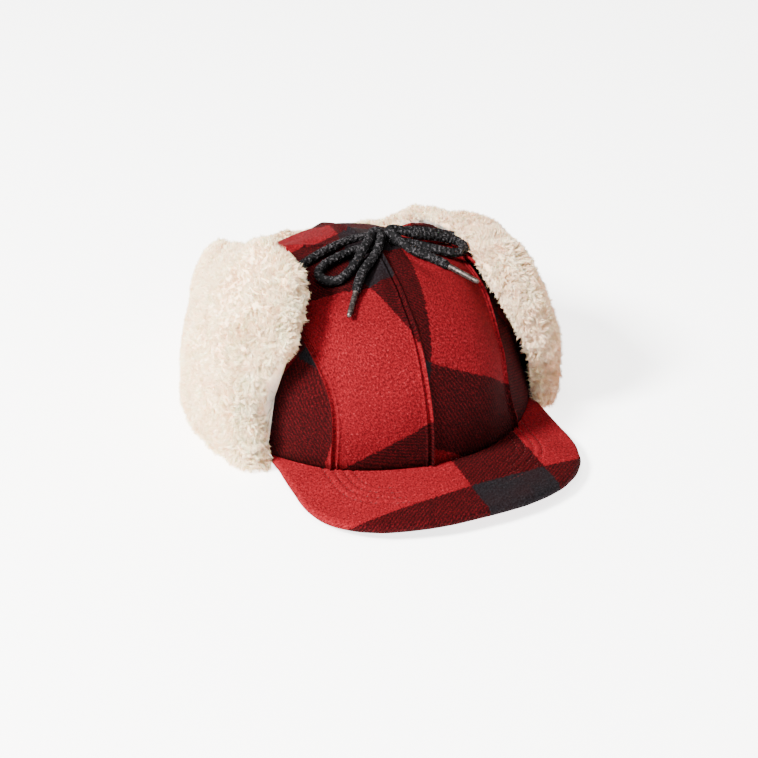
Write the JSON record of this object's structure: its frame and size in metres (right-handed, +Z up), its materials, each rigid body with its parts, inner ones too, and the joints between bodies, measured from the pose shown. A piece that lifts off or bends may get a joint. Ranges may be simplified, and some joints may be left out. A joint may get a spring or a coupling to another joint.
{
  "type": "trapper hat",
  "caption": "Billed plaid wool cap with a six-gore crown and a shearling ear flap band that folds down and ties over the crown with two cords.",
  "frame": {"origin": "on the plane the cap rests on, under the middle of the box of the cap without its tie cords", "axes": "+Z up through the crown, -Y towards the bill, +X towards the wearer's left"},
  "size_m": [0.2262, 0.2874, 0.1072],
  "materials": {
    "wool_cloth": "napped",
    "lining": "satin",
    "sweatband": "matte",
    "board": "matte",
    "shearling": "woolly",
    "cord": "braided",
    "aglet": "satin"
  },
  "bodies": {
    "crown": {"panel_front_left": "wool_cloth", "panel_front_right": "wool_cloth", "panel_side_left": "wool_cloth", "panel_side_right": "wool_cloth", "panel_back_left": "wool_cloth", "panel_back_right": "wool_cloth", "lining_front_left": "lining", "lining_front_right": "lining", "lining_side_left": "lining", "lining_side_right": "lining", "lining_back_left": "lining", "lining_back_right": "lining", "sweatband": "sweatband", "bill_top_cover": "wool_cloth", "bill_board": "board", "bill_under_cover": "wool_cloth"},
    "flap_left": {"flap_cloth_left": "wool_cloth", "shearling_left": "shearling"},
    "flap_rear_left": {"flap_cloth_rear_left": "wool_cloth", "shearling_rear_left": "shearling"},
    "flap_back": {"flap_cloth_back": "wool_cloth", "shearling_back": "shearling"},
    "flap_rear_right": {"flap_cloth_rear_right": "wool_cloth", "shearling_rear_right": "shearling"},
    "flap_right": {"flap_cloth_right": "wool_cloth", "shearling_right": "shearling"},
    "tie_left": {"tie_left": "cord", "aglet_left": "aglet"},
    "tie_right": {"tie_right": "cord", "aglet_right": "aglet"}
  },
  "joints": [
    {"name": "fold_left", "type": "hinge", "parent": "crown", "child": "flap_left", "pos_m": [0.09, 0, 0], "axis": [0, 1, 0], "range_deg": [0, 180]},
    {"name": "fold_rear_left", "type": "hinge", "parent": "crown", "child": "flap_rear_left", "pos_m": [0.0705, 0.087, 0], "axis": [-0.6115, 0.7912, 0], "range_deg": [0, 180]},
    {"name": "fold_back", "type": "hinge", "parent": "crown", "child": "flap_back", "pos_m": [0, 0.121, 0], "axis": [-1, 0, 0], "range_deg": [0, 180]},
    {"name": "fold_rear_right", "type": "hinge", "parent": "crown", "child": "flap_rear_right", "pos_m": [-0.0705, 0.087, 0], "axis": [-0.6115, -0.7912, 0], "range_deg": [0, 180]},
    {"name": "fold_right", "type": "hinge", "parent": "crown", "child": "flap_right", "pos_m": [-0.09, 0, 0], "axis": [0, -1, 0], "range_deg": [0, 180]},
    {"name": "tie_swing_left", "type": "hinge", "parent": "flap_left", "child": "tie_left", "pos_m": [0.054, 0.0024, 0.095], "axis": [0, 1, 0], "range_deg": [0, 90]},
    {"name": "tie_swing_right", "type": "hinge", "parent": "flap_right", "child": "tie_right", "pos_m": [-0.0515, -0.0015, 0.0924], "axis": [0, -1, 0], "range_deg": [0, 90]}
  ],
  "couplings": [
    {"joint": "fold_rear_left", "follows": "fold_left", "ratio": 1},
    {"joint": "fold_back", "follows": "fold_left", "ratio": 1},
    {"joint": "fold_rear_right", "follows": "fold_left", "ratio": 1},
    {"joint": "fold_right", "follows": "fold_left", "ratio": 1},
    {"joint": "tie_swing_left", "follows": "fold_left", "ratio": 0.5},
    {"joint": "tie_swing_right", "follows": "fold_left", "ratio": 0.5}
  ]
}
